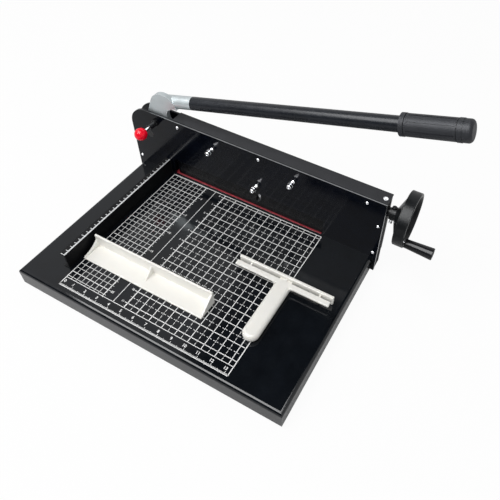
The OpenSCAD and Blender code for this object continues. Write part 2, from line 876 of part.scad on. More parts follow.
module adjuster_nuts() {
    nut_y = front_y - adjuster_nut_seat;
    color(chrome) for (a = adjusters) on_front(a[0], deck_h + a[1], nut_y) difference() {
        intersection() {
            cylinder(d = adjuster_nut_af / cos(30), h = adjuster_nut_h, $fn = 6);
            cylinder(d1 = adjuster_nut_af + 3 * adjuster_nut_h, d2 = adjuster_nut_af, h = adjuster_nut_h);
        }
        translate([0, 0, -eps]) cylinder(d = adjuster_d + 2 * run_gap, h = adjuster_nut_h + 2 * eps);
    }
}

module guide_bolts() {
    head_h = 5;
    shoulder_d = guide_d - 1;
    color(steel) for (x = guide_xs) {
        rod_y(guide_bolt_d, x, guide_z, beam_y0 + part_gap, back_y1);
        rod_y(shoulder_d, x, guide_z, beam_y1 + part_gap, back_y0);
        on_back(x, guide_z, back_y1) cylinder(d = 13 / cos(30), h = head_h, $fn = 6);
    }
}

module guide_rollers() {
    color(bronze) for (x = guide_xs) difference() {
        rod_y(guide_d, x, guide_z, beam_y0 + part_gap, beam_y1 + part_gap - slip);
        rod_y(guide_bolt_d + 2 * run_gap, x, guide_z, beam_y0, beam_y1 + 1);
    }
}

module pivot_pin() {
    color(black) rod_y(pivot_d, pivot_x, pivot_z, front_y, back_y1 + 2);
}

module pivot_ring() {
    color(steel) difference() {
        rod_y(pivot_d + 7, pivot_x, pivot_z, back_y1, back_y1 + 1.5);
        rod_y(pivot_d + 2 * run_gap, pivot_x, pivot_z, back_y1 - 1, back_y1 + 3);
    }
}

module plunger_housing() {
    nut_h = 5;
    groove_n = 4;
    groove_pitch = (housing_len - nut_h) / (groove_n + 1);
    color(black) on_front(lock_cx, lock_cz, front_y) difference() {
        union() {
            cylinder(d = housing_d, h = housing_len);
            cylinder(d = housing_d + 3, h = nut_h, $fn = 6);
        }
        for (i = [1:groove_n]) translate([0, 0, nut_h + i * groove_pitch - 0.6]) difference() {
            cylinder(d = housing_d + 4, h = 1.2);
            translate([0, 0, -eps]) cylinder(d = housing_d - 1.6, h = 1.2 + 2 * eps);
        }
        translate([0, 0, -eps]) cylinder(d = lock_pin_d + 2 * run_gap, h = housing_len + 2 * eps);
    }
}

module shaft_bush() {
    color(bronze) difference() {
        union() {
            rod_x(bush_d, wheel_y, wheel_z, right_post_x0, post_x1 + eps);
            rod_x(bush_collar_d, wheel_y, wheel_z, post_x1, hub_x0 - part_gap);
        }
        rod_x(shaft_d + 2 * run_gap, wheel_y, wheel_z, right_post_x0 - 1, hub_x0 + 1);
    }
}

module bearing_blocks() {
    color(steel) for (x = block_xs) difference() {
        block([x, block_y0, block_z0], [x + block_t, back_y0, block_z1]);
        rod_x(shaft_d + 2 * run_gap, wheel_y, wheel_z, x - 1, x + block_t + 1);
        rod_x(pinion_shaft_d + 2 * run_gap, wheel_y, pinion_z, x - 1, x + block_t + 1);
        for (z = block_screw_zs)
            rod_y(block_screw_d + 2 * slip, x + block_t / 2, z,
                  back_y1 - back_t - block_screw_len, back_y1 + 1);
    }
}

module bearing_block_screws() {
    color(chrome) for (x = block_xs, z = block_screw_zs) on_back(x + block_t / 2, z, back_y1)
        button_screw(block_screw_d, back_t + block_screw_len - slip, 5.4, 1.8);
}

// Lever

module head_outline_2d() {
    arm = [knuckle_x, knuckle_z];
    reach = norm(arm);
    lean = acos((hub_r - knuckle_r) / reach);
    along = atan2(knuckle_z, knuckle_x);
    a = along + lean;
    b = along - lean;
    translate([pivot_x, pivot_z]) difference() {
        union() {
            circle(hub_r);
            translate(arm) circle(knuckle_r);
            polygon([
                polar(hub_r - eps, b), arm + polar(knuckle_r - eps, b),
                arm + polar(knuckle_r - eps, a), polar(hub_r - eps, a)
            ]);
        }
        translate([notch_x, notch_z]) circle(notch_r);
    }
}

module cheek_2d() {
    far = 2 * cheek_r;
    mid = (cheek_a0 + cheek_a1) / 2;
    translate([pivot_x, pivot_z]) {
        circle(hub_r);
        intersection() {
            circle(cheek_r);
            polygon([[0, 0], polar(far, cheek_a0), polar(far, mid), polar(far, cheek_a1)]);
        }
    }
}

module lever_head() {
    crank_hole = crank_pin_d + 2 * run_gap;
    color(silver) difference() {
        union() {
            slab_y(knuckle_y0, knuckle_y1) head_outline_2d();
            slab_y(head_y0, front_cheek_y1) cheek_2d();
            slab_y(back_cheek_y0, head_y1) cheek_2d();
            rod_y(2 * hub_r, pivot_x, pivot_z, head_y0, head_y1);
            on_lever() translate([neck_start, 0, 0]) rotate([0, 90, 0])
                cylinder(d = neck_d, h = neck_reach - neck_start);
            on_lever() translate([neck_reach - 1, 0, 0]) rotate([0, 90, 0])
                cylinder(d = spigot_d, h = spigot_len + 1);
        }
        rod_y(pivot_d + 2 * run_gap, pivot_x, pivot_z, head_y0 - 1, head_y1 + 1);
        rod_y(crank_hole, crank_x, crank_z, head_y0 - 1, head_y1 + 1);
        rod_y(lock_hole_d, lock_cx, lock_cz, head_y0 - 1, lock_tip_y + lock_hole_depth);
        translate([pivot_x, 0, pivot_z]) rotate([0, swing - lock_a, 0])
            rod_y(lock_hole_d, lock_r, 0, head_y0 - 1, front_cheek_y1 + 0.2);
        on_lever() translate([tube_screw_at, 0, 0]) rotate([-90, 0, 0])
            cylinder(d = tube_screw_d + 2 * run_gap, h = tube_d);
    }
}

module crank_pin() {
    color(steel) rod_y(crank_pin_d, crank_x, crank_z, head_y0, head_y1);
}

module crank_roller() {
    color(bronze) difference() {
        rod_y(crank_roller_d, crank_x, crank_z, beam_y0, beam_y1);
        rod_y(crank_pin_d + 2 * run_gap, crank_x, crank_z, beam_y0 - 1, beam_y1 + 1);
    }
}

module lever_tube() {
    color(black) on_lever() difference() {
        translate([tube_start, 0, 0]) rotate([0, 90, 0])
            cylinder(d = tube_d, h = lever_reach - tube_end_gap - tube_start);
        translate([tube_start - 1, 0, 0]) rotate([0, 90, 0])
            cylinder(d = tube_d - 2 * tube_wall, h = lever_reach - tube_start + 2);
        translate([tube_screw_at, 0, 0]) rotate([-90, 0, 0])
            cylinder(d = tube_screw_d + 2 * run_gap, h = tube_d);
    }
}

module tube_screw() {
    sunk = 0.8;
    socket_h = 1.8;
    color(steel) on_lever() translate([tube_screw_at, 0, 0]) rotate([-90, 0, 0]) difference() {
        cylinder(d = tube_screw_d, h = tube_d / 2 - sunk);
        translate([0, 0, tube_d / 2 - sunk - socket_h]) cylinder(d = tube_screw_d / 2, h = tube_d, $fn = 6);
    }
}

module lever_grip() {
    band = 7;
    band_d = grip_d + 1.2;
    cap = 14;
    end_r = tip_r;
    waist = 1.2;
    panel_n = 8;
    panel_gap = 2;
    panel_depth = 0.9;
    panel_x0 = grip_start + band + 5;
    panel_x1 = lever_reach - cap - band - 3;
    color(rubber) difference() {
        turned_lever() difference() {
            union() {
                translate([0, grip_start]) square([band_d / 2, band]);
                translate([0, grip_start]) square([grip_d / 2, grip_len - end_r]);
                translate([0, lever_reach - cap - band]) square([band_d / 2, band]);
                translate([0, lever_reach - end_r - eps]) square([grip_d / 2 - end_r, end_r + eps]);
                translate([grip_d / 2 - end_r, lever_reach - end_r]) circle(end_r);
            }
            translate([-grip_d, 0]) square([grip_d, 2 * lever_reach]);
            translate([0, grip_start - 1]) square([tube_d / 2 + run_gap, grip_len + 1 - tube_end_gap]);
            for (s = [grip_start + band, lever_reach - cap - band - waist])
                translate([grip_d / 2 - waist, s]) square([waist + 1, waist]);
        }
        on_lever() for (i = [0:panel_n - 1]) rotate([i * 360 / panel_n, 0, 0])
            translate([panel_x0, -panel_gap / 2, grip_d / 2 - panel_depth])
                cube([panel_x1 - panel_x0, panel_gap, 2]);
    }
}

// Knife

module beam_2d() {
    round_rect(lug_x0, crank_z - lug_h / 2, beam_x0 + 2 * lug_corner, crank_z + lug_h / 2, lug_corner);
    translate([beam_x0, beam_z0]) square([beam_x1 - beam_x0, beam_h]);
}

module knife_beam() {
    color(steel) difference() {
        slab_y(beam_y0, beam_y1) difference() {
            beam_2d();
            slot_2d([slot_x0, crank_z], [slot_x1, crank_z], slot_w);
            for (x = guide_xs)
                slot_2d([x, guide_z], [x - knife_drift, guide_z - knife_rise], guide_slot_w);
        }
        block([beam_x0 - 1, beam_y0 - 1, beam_z0 - 1], [beam_x1 + 1, beam_y0 + blade_t, blade_z1]);
        blade_screw_holes();
    }
}

module blade() {
    back_y = beam_y0 + blade_t;
    color(chrome) difference() {
        slab_x(blade_x0, blade_x1) polygon([
            [beam_y0, blade_z0], [beam_y0 + edge_t, blade_z0], [back_y, blade_z0 + bevel_h],
            [back_y, blade_z1], [beam_y0, blade_z1]
        ]);
        blade_screw_holes();
    }
}

module blade_screw_holes() {
    for (x = blade_screw_xs) on_front(x, blade_screw_z, beam_y0)
        flush_hole(blade_screw_d, blade_screw_len + slip, blade_screw_head);
}

module blade_screws() {
    color(steel) for (x = blade_screw_xs) on_front(x, blade_screw_z, beam_y0)
        flush_screw(blade_screw_d, blade_screw_len, blade_screw_head);
}

// Press

module press_plate() {
    color(steel) difference() {
        slab_y(press_y0, press_y1) difference() {
            union() {
                translate([press_x0, press_z0]) square([press_x1 - press_x0, press_h]);
                translate([press_x1 - 1, arm_z0]) square([rack_x1 - press_x1 + 1, arm_h]);
            }
            slot_2d([adjusters[1][0], adjuster_slot_z], [adjusters[1][0], press_z1 + 1], adjuster_slot_w);
        }
        rack_screw_holes();
    }
}

module rack_screw_holes() {
    for (z = [tang_z0 + 4, arm_z1 - 4])
        rod_y(rack_screw_d + 2 * slip, (rack_x0 + rack_x1) / 2, z, press_y0 - 1, press_y1 + tang_t + 1);
}

module press_rack() {
    color(steel) difference() {
        union() {
            block([rack_x0, press_y1, tang_z0], [rack_x1, press_y1 + tang_t, arm_z1]);
            block([rack_x0, rack_back_y, arm_z1], [rack_x1, rack_root_y, rack_z1]);
            intersection() {
                slab_x(rack_x0, rack_x1) rack_teeth_2d();
                block([rack_x0 - 1, rack_back_y, arm_z1], [rack_x1 + 1, wheel_y, rack_z1]);
            }
        }
        rack_screw_holes();
    }
}

module rack_screws() {
    color(chrome) for (z = [tang_z0 + 4, arm_z1 - 4])
        rod_y(rack_screw_d, (rack_x0 + rack_x1) / 2, z, press_y0, press_y1 + tang_t);
}

module press_pinion() {
    color(steel) difference() {
        translate([0, wheel_y, pinion_z]) slab_x(pinion_x0, pinion_x0 + pinion_len) gear_2d();
        rod_x(pinion_shaft_d, wheel_y, pinion_z, pinion_x0 - 1, pinion_x0 + pinion_len + 1);
    }
}

module pinion_shaft() {
    color(chrome) rod_x(pinion_shaft_d, wheel_y, pinion_z, block_xs[0] - 1, block_xs[1] + block_t + 1);
}

// Lock plunger

module plunger_pin() {
    tip = 1;
    ball_hold = ball_d * 0.3;
    color(chrome) {
        rod_y(lock_pin_d, lock_cx, lock_cz, front_y - ball_out + ball_hold, lock_tip_y - tip);
        translate([lock_cx, lock_tip_y - tip, lock_cz]) rotate([-90, 0, 0])
            cylinder(d1 = lock_pin_d, d2 = lock_pin_d - 2 * tip, h = tip);
    }
}

module plunger_ball() {
    ball_hold = ball_d * 0.3;
    color(red) translate([lock_cx, front_y - ball_out, lock_cz]) rotate([-90, 0, 0]) rotate_extrude()
        difference() {
            circle(d = ball_d);
            translate([-ball_d, -ball_d]) square([ball_d, 2 * ball_d]);
            translate([0, ball_hold]) square([lock_pin_d / 2, ball_d]);
        }
}

// Hand wheel

module wheel_shaft() {
    color(chrome) rod_x(shaft_d, wheel_y, wheel_z, block_xs[0] - 0.5, boss_x1);
}

module wheel_gear() {
    color(steel) difference() {
        translate([0, wheel_y, wheel_z]) slab_x(gear_x0, gear_x0 + gear_len)
            rotate(180 / gear_teeth) gear_2d();
        rod_x(shaft_d, wheel_y, wheel_z, gear_x0 - 1, gear_x0 + gear_len + 1);
    }
}

module hand_wheel() {
    color(grey_black) difference() {
        turned_x(wheel_y, wheel_z) polygon([
            [0, hub_x0], [hub_d / 2, hub_x0], [hub_d / 2, hub_x1],
            [rim_r - rim_lip - rim_edge, rim_x0 + rim_edge], [rim_r - rim_lip, rim_x0],
            [rim_r - rim_edge, rim_x0], [rim_r, rim_x0 + rim_edge], [rim_r, rim_x1 - rim_edge],
            [rim_r - rim_edge, rim_x1], [rim_r - rim_lip, rim_x1], [rim_r - rim_lip - 2, rim_x1 - 2],
            [dish_r, dish_x], [boss_r, face_x], [boss_r, boss_x1], [0, boss_x1]
        ]);
        rod_x(shaft_d, wheel_y, wheel_z, hub_x0 - 1, boss_x1 + 1);
        rod_x(axle_d, crank_y, crank_cz, rim_x0, rim_x1 + 1);
        wheel_bolt_hole();
        wheel_screw_hole();
    }
}

module wheel_bolt_hole() {
    translate([wheel_bolt_x, wheel_y, wheel_z]) cylinder(d = wheel_bolt_d, h = hub_d);
}

module wheel_bolt() {
    head_h = 3;
    head_seat = hub_d / 2 - 0.5;
    color(black) translate([wheel_bolt_x, wheel_y, wheel_z]) {
        translate([0, 0, shaft_d / 2]) cylinder(d = wheel_bolt_d, h = hub_d / 2);
        translate([0, 0, hub_d / 2]) difference() {
            cylinder(d = 1.6 * wheel_bolt_d, h = head_h);
            translate([0, 0, head_h / 2]) cylinder(d = 0.9 * wheel_bolt_d, h = head_seat, $fn = 6);
        }
    }
}

wheel_screw_a = -125;
wheel_screw_d = 5.5;

module wheel_screw_hole() {
    translate([wheel_bolt_x, wheel_y, wheel_z]) rotate([wheel_screw_a - 90, 0, 0])
        cylinder(d = wheel_screw_d, h = hub_d);
}

module wheel_screw() {
    proud = 6;
    color(chrome) translate([wheel_bolt_x, wheel_y, wheel_z]) rotate([wheel_screw_a - 90, 0, 0])
        translate([0, 0, shaft_d / 2]) difference() {
            cylinder(d = wheel_screw_d, h = hub_d / 2 - shaft_d / 2 + proud);
            translate([0, 0, hub_d / 2 - shaft_d / 2]) cylinder(d = wheel_screw_d / 2, h = hub_d, $fn = 6);
        }
}

module crank_axle() {
    seat_x = crank_grip_x1 - axle_recess - axle_head_h;
    color(steel) {
        rod_x(axle_d, crank_y, crank_cz, rim_x0, seat_x + eps);
        rod_x(axle_head_d, crank_y, crank_cz, seat_x, seat_x + axle_head_h);
    }
}

module crank_grip() {
    end_r = 1.5;
    neck_r = crank_grip_neck_d / 2;
    top_r = crank_grip_d / 2;
    seat_x = crank_grip_x1 - axle_recess - axle_head_h;
    color(rubber) difference() {
        turned_x(crank_y, crank_cz) difference() {
            union() {
                polygon([
                    [0, crank_grip_x0], [neck_r, crank_grip_x0],
                    [top_r, crank_grip_x1 - end_r], [0, crank_grip_x1 - end_r]
                ]);
                translate([top_r - end_r, crank_grip_x1 - end_r]) circle(end_r);
                translate([0, crank_grip_x1 - end_r]) square([top_r - end_r, end_r]);
            }
            translate([-rim_r, crank_grip_x0 - 1]) square([rim_r, crank_grip_len + 2]);
        }
        rod_x(axle_d + 2 * run_gap, crank_y, crank_cz, crank_grip_x0 - 1, crank_grip_x1 + 1);
        rod_x(axle_head_d + 2 * slip, crank_y, crank_cz, seat_x - run_gap, crank_grip_x1 + 1);
    }
}

// Loose tools

module pusher_profile_2d() {
    round_rect(pusher_y0, tool_z, pusher_y1, tool_z + pusher_t, pusher_round);
    round_rect(pusher_y1 - pusher_t, tool_z, pusher_y1, tool_z + pusher_h, pusher_round);
}

module pusher_web_2d() {
    toe = pusher_y0 + 5;
    heel = pusher_y1 - pusher_t;
    floor_z = tool_z + pusher_t;
    web_z1 = tool_z + pusher_h - 4;
    polygon([
        [toe, floor_z - 1], [toe, floor_z + 1], [heel, web_z1], [heel + 1, web_z1], [heel + 1, floor_z - 1]
    ]);
}

module pusher_rib_2d() {
    toe = pusher_y0 + 0.36 * pusher_d;
    heel = pusher_y1 - pusher_t;
    floor_z = tool_z + pusher_t;
    rib_z1 = tool_z + 0.72 * pusher_h;
    polygon([
        [toe, floor_z - 1], [toe, floor_z + 0.5], [heel, rib_z1], [heel + 1, rib_z1], [heel + 1, floor_z - 1]
    ]);
}

module pusher_end_2d() {
    arc_r = 1.25 * pusher_d;
    heel = pusher_y1 - pusher_t;
    difference() {
        translate([pusher_y0 + 2, tool_z + 1]) square([heel + 1 - pusher_y0 - 2, pusher_h - 2]);
        translate([pusher_y0 + 1, tool_z + pusher_t + arc_r + 2]) circle(arc_r);
        translate([pusher_y0 - arc_r, tool_z + pusher_t + 2]) square([arc_r + 1, arc_r]);
    }
}

module paper_pusher() {
    mid_x = pusher_x0 + pusher_len / 2;
    pusher_x1 = pusher_x0 + pusher_len;
    rib_half = 0.35 * pusher_t;
    color(white) {
        slab_x(pusher_x0, pusher_x1) pusher_profile_2d();
        slab_x(pusher_x0, pusher_x0 + pusher_t) pusher_end_2d();
        slab_x(mid_x - rib_half, mid_x + rib_half) pusher_rib_2d();
        slab_x(pusher_x1 - pusher_t, pusher_x1) pusher_web_2d();
    }
}

// Half of the handle's rounded section, seen along its length
module tool_section_2d(half, z0, z1, r) {
    intersection() {
        round_rect(-half, z0, half, z1, r);
        translate([0, z0 - 1]) square([half + 1, z1 - z0 + 2]);
    }
}

module tool_handle() {
    half = tool_handle_w / 2;
    edge_r = 0.46 * tool_handle_h;
    end_y = tool_bar_y0 - tool_handle_len + half;
    inner_y = tool_bar_y0 + tool_strip_w / 2;
    z1 = tool_z + tool_handle_h;
    translate([tool_handle_x, 0, 0]) slab_y(end_y, inner_y) round_rect(-half, tool_z, half, z1, edge_r);
    translate([tool_handle_x, end_y, 0]) rotate_extrude()
        tool_section_2d(half - eps, tool_z + eps, z1 - eps, edge_r - eps);
}

// Rounded inner corners between the handle and the strip
module tool_fillets_2d() {
    half = tool_handle_w / 2 - 1;
    y0 = tool_bar_y0 - tool_fillet;
    for (side = [-1, 1]) difference() {
        translate([tool_handle_x + side * (half + tool_fillet / 2) - tool_fillet / 2, y0])
            square([tool_fillet, tool_fillet + 3]);
        translate([tool_handle_x + side * (half + tool_fillet), y0]) circle(tool_fillet);
    }
}

module push_tool() {
    plate_y0 = tool_bar_y1 - tool_plate_t;
    strip_y1 = tool_bar_y0 + tool_strip_w;
    strip_x1 = tool_bar_x1 - 2;
    rib_xs = [tool_handle_x - 0.38 * tool_bar_len, tool_handle_x, tool_handle_x + 0.36 * tool_bar_len];
    web_half = 0.4 * tool_handle_w;
    color(white) {
        slab_x(tool_bar_x0, tool_bar_x1)
            round_rect(plate_y0, tool_z, tool_bar_y1, tool_z + tool_bar_h, 0.3 * tool_plate_t);
        slab_x(tool_bar_x0 - 1, strip_x1)
            round_rect(tool_bar_y0, tool_strip_z0, strip_y1, tool_strip_z1, 0.35 * tool_strip_t);
        for (x = rib_xs) block([x - tool_rib_t / 2, strip_y1 - 2, tool_strip_z0 + 1],
                               [x + tool_rib_t / 2, plate_y0 + 1, tool_strip_z1 - 1]);
        block([tool_handle_x - web_half, tool_bar_y0 + 1, tool_z + 2],
              [tool_handle_x + web_half, plate_y0 + 1, tool_strip_z0 + 1]);
        translate([0, 0, tool_strip_z0 + 0.5]) linear_extrude(tool_strip_t - 1) tool_fillets_2d();
        tool_handle();
    }
}

// Origin at the middle of the part's outline, on the plane of the feet
tip_r = 6;
lever_tip_x = lever_foot_x + (lever_reach - tip_r) * cos(lever_angle)
            + (grip_d / 2 - tip_r) * sin(lever_angle) + tip_r;
origin_x = (plate_x0 + max(lever_tip_x, crank_grip_x1)) / 2;
origin_y = (-base_d / 2 + wheel_y + rim_r) / 2;

module place() {
    translate([-origin_x, -origin_y, 0]) children();
}

place() base_tray();
place() stick_channel();
place() cutting_stick();
place() rubber_feet();
place() foot_screws();
place() side_fence();
place() fence_screws();
place() front_plate();
place() back_plate();
place() left_post();
place() right_post();
place() post_bolts();
place() front_plate_screws();
place() back_plate_screws();
place() top_cover();
place() cover_screw();
place() adjuster_screws();
place() adjuster_nuts();
place() guide_bolts();
place() guide_rollers();
place() pivot_pin();
place() pivot_ring();
place() plunger_housing();
place() shaft_bush();
place() bearing_blocks();
place() bearing_block_screws();
place() lever_head();
place() crank_pin();
place() crank_roller();
place() lever_tube();
place() lever_grip();
place() tube_screw();
place() knife_beam();
place() blade();
place() blade_screws();
place() press_plate();
place() press_rack();
place() rack_screws();
place() plunger_pin();
place() plunger_ball();
place() wheel_shaft();
place() wheel_gear();
place() hand_wheel();
place() wheel_bolt();
place() wheel_screw();
place() crank_axle();
place() press_pinion();
place() pinion_shaft();
place() crank_grip();
place() paper_pusher();
place() push_tool();
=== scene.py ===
"""Stack paper cutter: finishes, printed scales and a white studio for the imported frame."""
import json
import math

import bmesh
import bpy
from mathutils import Matrix, Vector


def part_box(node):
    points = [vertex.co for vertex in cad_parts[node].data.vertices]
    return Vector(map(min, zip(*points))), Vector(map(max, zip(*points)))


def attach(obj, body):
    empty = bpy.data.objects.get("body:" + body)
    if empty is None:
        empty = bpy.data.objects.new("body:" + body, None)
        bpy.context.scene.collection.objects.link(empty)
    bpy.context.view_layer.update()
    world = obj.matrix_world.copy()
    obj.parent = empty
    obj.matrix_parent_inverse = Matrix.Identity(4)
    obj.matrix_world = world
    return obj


MM = 0.001
INCH = 25.4

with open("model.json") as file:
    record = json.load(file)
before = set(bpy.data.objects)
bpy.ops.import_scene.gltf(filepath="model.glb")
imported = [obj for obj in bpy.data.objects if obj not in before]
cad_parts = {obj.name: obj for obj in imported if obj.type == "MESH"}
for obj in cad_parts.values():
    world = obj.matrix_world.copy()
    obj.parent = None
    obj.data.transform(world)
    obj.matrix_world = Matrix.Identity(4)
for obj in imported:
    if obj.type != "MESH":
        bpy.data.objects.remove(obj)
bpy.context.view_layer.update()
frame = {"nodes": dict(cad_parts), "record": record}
nodes = frame["nodes"]
scene = bpy.context.scene

# ---------------------------------------------------------------- materials

ROUGH_SCALE = 60
LEAST_ROUGH = 0.02
BUMP_DEPTH = 0.15 * MM
COAT_ROUGH = 0.08
FLECK_SHADE = 2.2
WEAR_AND_HIGHLIGHT_SCALE = 160
# Reach of the painted shade that darkens recesses
RECESS_SHADE_DEPTH = 1.2 * MM
SOFT_RADIUS = (0.003, 0.0025, 0.002)

# Where the front plate's painted highlight starts and ends: behind its front, left of the cover and at its
# right end
TOP_HIGHLIGHT = (1.2 * MM, 2.0 * MM)
COVER_HIGHLIGHT = 60 * MM
END_HIGHLIGHT = (2 * MM, 1 * MM)
END_HIGHLIGHT_DEPTH = (8 * MM, 9 * MM)

# Edge colours of worn paint, which also stand for a painted highlight on the edges
GREY_EDGE = (0.16, 0.165, 0.17)
WHEEL_EDGE = (0.22, 0.23, 0.235)
CAST_EDGE = (0.86, 0.88, 0.89)
# Colour of the painted highlight and painted reflection on the front plate
PLATE_HIGHLIGHT_COLOUR = (0.42, 0.43, 0.44, 1.0)
# Colour of the painted shade in recesses
RECESS_SHADE_COLOUR = (0.02, 0.019, 0.018, 1.0)
WHITE = (1, 1, 1, 1)
ALONG_X = (0.02, 1.0, 1.0)
ALONG_Z = (1.0, 1.0, 0.02)


def add(tree, kind, inputs=None, **settings):
    """A new node with its settings and the values of its unlinked inputs."""
    node = tree.nodes.new(kind)
    for key, value in settings.items():
        setattr(node, key, value)
    for key, value in (inputs or {}).items():
        node.inputs[key].default_value = value
    return node


def shade(colour, factor):
    """The colour made lighter or darker, as a node's colour value."""
    return tuple(min(1.0, c * factor) for c in colour) + (1.0,)


def noise(tree, coords, scale, detail=3.0, rough=0.55, stretch=None):
    """Noise over the object, its scale in features per metre, drawn out along an axis by stretch."""
    source = coords
    if stretch:
        mapping = add(tree, "ShaderNodeMapping", {"Scale": stretch})
        tree.links.new(coords, mapping.inputs["Vector"])
        source = mapping.outputs["Vector"]
    node = add(tree, "ShaderNodeTexNoise", {"Scale": scale, "Detail": detail, "Roughness": rough})
    tree.links.new(source, node.inputs["Vector"])
    return node.outputs["Fac"]


def spread(tree, value, low, high, start=0.3, end=0.7):
    """The stretch of a value from start to end, mapped to the range from low to high."""
    node = add(tree, "ShaderNodeMapRange",
               {"From Min": start, "From Max": end, "To Min": low, "To Max": high})
    tree.links.new(value, node.inputs["Value"])
    return node.outputs["Result"]


def combine(tree, operation, first, *others):
    """All the values taken together by one operation."""
    for other in others:
        node = add(tree, "ShaderNodeMath", operation=operation)
        tree.links.new(first, node.inputs[0])
        tree.links.new(other, node.inputs[1])
        first = node.outputs["Value"]
    return first


def blend(tree, factor, first, second):
    """A mix of two colours, each a value or the output of a node."""
    node = add(tree, "ShaderNodeMix", data_type="RGBA")
    tree.links.new(factor, node.inputs["Factor"])
    for name, colour in (("A", first), ("B", second)):
        socket = next(s for s in node.inputs if s.name == name and s.type == "RGBA")
        if isinstance(colour, bpy.types.NodeSocket):
            tree.links.new(colour, socket)
        else:
            socket.default_value = colour
    return next(s for s in node.outputs if s.type == "RGBA")


def edge_mask(tree, coords, radius, amount):
    """Up to amount along sharp edges, broken up by noise, and 0 elsewhere: wear with a painted highlight.
    """
    rounded = add(tree, "ShaderNodeBevel", {"Radius": radius}, samples=4)
    plain = add(tree, "ShaderNodeNewGeometry")
    dot = add(tree, "ShaderNodeVectorMath", operation="DOT_PRODUCT")
    tree.links.new(rounded.outputs["Normal"], dot.inputs[0])
    tree.links.new(plain.outputs["Normal"], dot.inputs[1])
    edge = spread(tree, dot.outputs["Value"], amount, 0.0, start=0.80, end=0.985)
    patchy = spread(tree, noise(tree, coords, WEAR_AND_HIGHLIGHT_SCALE), 0.35, 1.0)
    return combine(tree, "MULTIPLY", edge, patchy)


def plate_edge_mask(tree, coords):
    """Painted highlight on the front plate's top edge and painted reflection on its right end.

    The top edge's highlight is strongest at its front and beside the cover.
    """
    spot = add(tree, "ShaderNodeSeparateXYZ")
    tree.links.new(coords, spot.inputs[0])
    facing = add(tree, "ShaderNodeSeparateXYZ")
    tree.links.new(add(tree, "ShaderNodeNewGeometry").outputs["Normal"], facing.inputs[0])
    front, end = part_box("front_plate")[0].y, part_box("front_plate")[1].x
    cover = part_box("top_cover")[0].x
    top = combine(tree, "MULTIPLY",
                  spread(tree, facing.outputs["Z"], 0.0, 0.8, start=0.2, end=0.5),
                  spread(tree, spot.outputs["Y"], 1.0, 0.1, front + TOP_HIGHLIGHT[0], front + TOP_HIGHLIGHT[1]),
                  spread(tree, spot.outputs["X"], 0.15, 1.0, cover - COVER_HIGHLIGHT, cover),
                  spread(tree, noise(tree, coords, WEAR_AND_HIGHLIGHT_SCALE), 0.7, 1.0))
    right = combine(tree, "MULTIPLY",
                    spread(tree, facing.outputs["X"], 0.0, 1.0, start=0.2, end=0.5),
                    spread(tree, spot.outputs["X"], 0.0, 1.0, end - END_HIGHLIGHT[0], end - END_HIGHLIGHT[1]),
                    spread(tree, spot.outputs["Y"], 1.0, 0.0, front + END_HIGHLIGHT_DEPTH[0],
                           front + END_HIGHLIGHT_DEPTH[1]))
    return combine(tree, "MAXIMUM", top, right)


def finish(name, colour, rough, vary=0.12, vary_scale=25, rough_vary=0.05, bump=0.15, bump_scale=900,
           metal=0.0, coat=0.0, stretch=None, fleck=0.0, fleck_scale=1400, edge_wear_and_highlight=None, edge_wear_and_highlight_radius=0.0007,
           edge_wear_and_highlight_amount=0.8, plate_highlight=False, recess_shade=0.0, recess_shade_reach=0.5, level=0.5, subsurface=0.0):
    """A surface whose colour, gloss and relief vary the way a real finish does, with painted highlights
    and painted shade where asked.
    """
    material = bpy.data.materials.new(name)
    material.use_nodes = True
    tree = material.node_tree
    shader = tree.nodes["Principled BSDF"]
    shader.inputs["Metallic"].default_value = metal
    shader.inputs["Coat Weight"].default_value = coat
    shader.inputs["Coat Roughness"].default_value = COAT_ROUGH
    shader.inputs["Specular IOR Level"].default_value = level
    if subsurface:
        shader.inputs["Subsurface Weight"].default_value = subsurface
        shader.inputs["Subsurface Radius"].default_value = SOFT_RADIUS
    coords = add(tree, "ShaderNodeTexCoord").outputs["Object"]
    broad = noise(tree, coords, vary_scale, detail=4.0, rough=0.6, stretch=stretch)
    base = blend(tree, spread(tree, broad, 0.0, 1.0), shade(colour, 1 - vary), shade(colour, 1 + vary))
    if fleck:
        grain = noise(tree, coords, fleck_scale, detail=1.0, rough=0.4, stretch=stretch)
        flecks = spread(tree, grain, 0.0, fleck, start=0.56, end=0.72)
        base = blend(tree, flecks, base, shade(colour, FLECK_SHADE))
    smears = noise(tree, coords, ROUGH_SCALE, detail=5.0, rough=0.6, stretch=stretch)
    gloss = spread(tree, smears, max(LEAST_ROUGH, rough - rough_vary), rough + rough_vary)
    # Lighter edges: wear, and a painted highlight
    if edge_wear_and_highlight:
        base = blend(tree, edge_mask(tree, coords, edge_wear_and_highlight_radius, edge_wear_and_highlight_amount), base, edge_wear_and_highlight + (1.0,))
    # Painted highlight on the front plate's top edge and painted reflection on its right end
    if plate_highlight:
        base = blend(tree, plate_edge_mask(tree, coords), base, PLATE_HIGHLIGHT_COLOUR)
    # Painted shade: colour darkened in recesses, by ambient occlusion
    if recess_shade:
        corner = add(tree, "ShaderNodeAmbientOcclusion", {"Distance": RECESS_SHADE_DEPTH},
                     samples=6, only_local=True)
        recess_darkening = spread(tree, corner.outputs["AO"], recess_shade, 0.0, start=0.1, end=recess_shade_reach)
        base = blend(tree, recess_darkening, base, RECESS_SHADE_COLOUR)
    tree.links.new(base, shader.inputs["Base Color"])
    tree.links.new(gloss, shader.inputs["Roughness"])
    relief = add(tree, "ShaderNodeBump", {"Strength": bump, "Distance": BUMP_DEPTH})
    grit = noise(tree, coords, bump_scale, detail=2.0, rough=0.5, stretch=stretch)
    tree.links.new(grit, relief.inputs["Height"])
    tree.links.new(relief.outputs["Normal"], shader.inputs["Normal"])
    return material
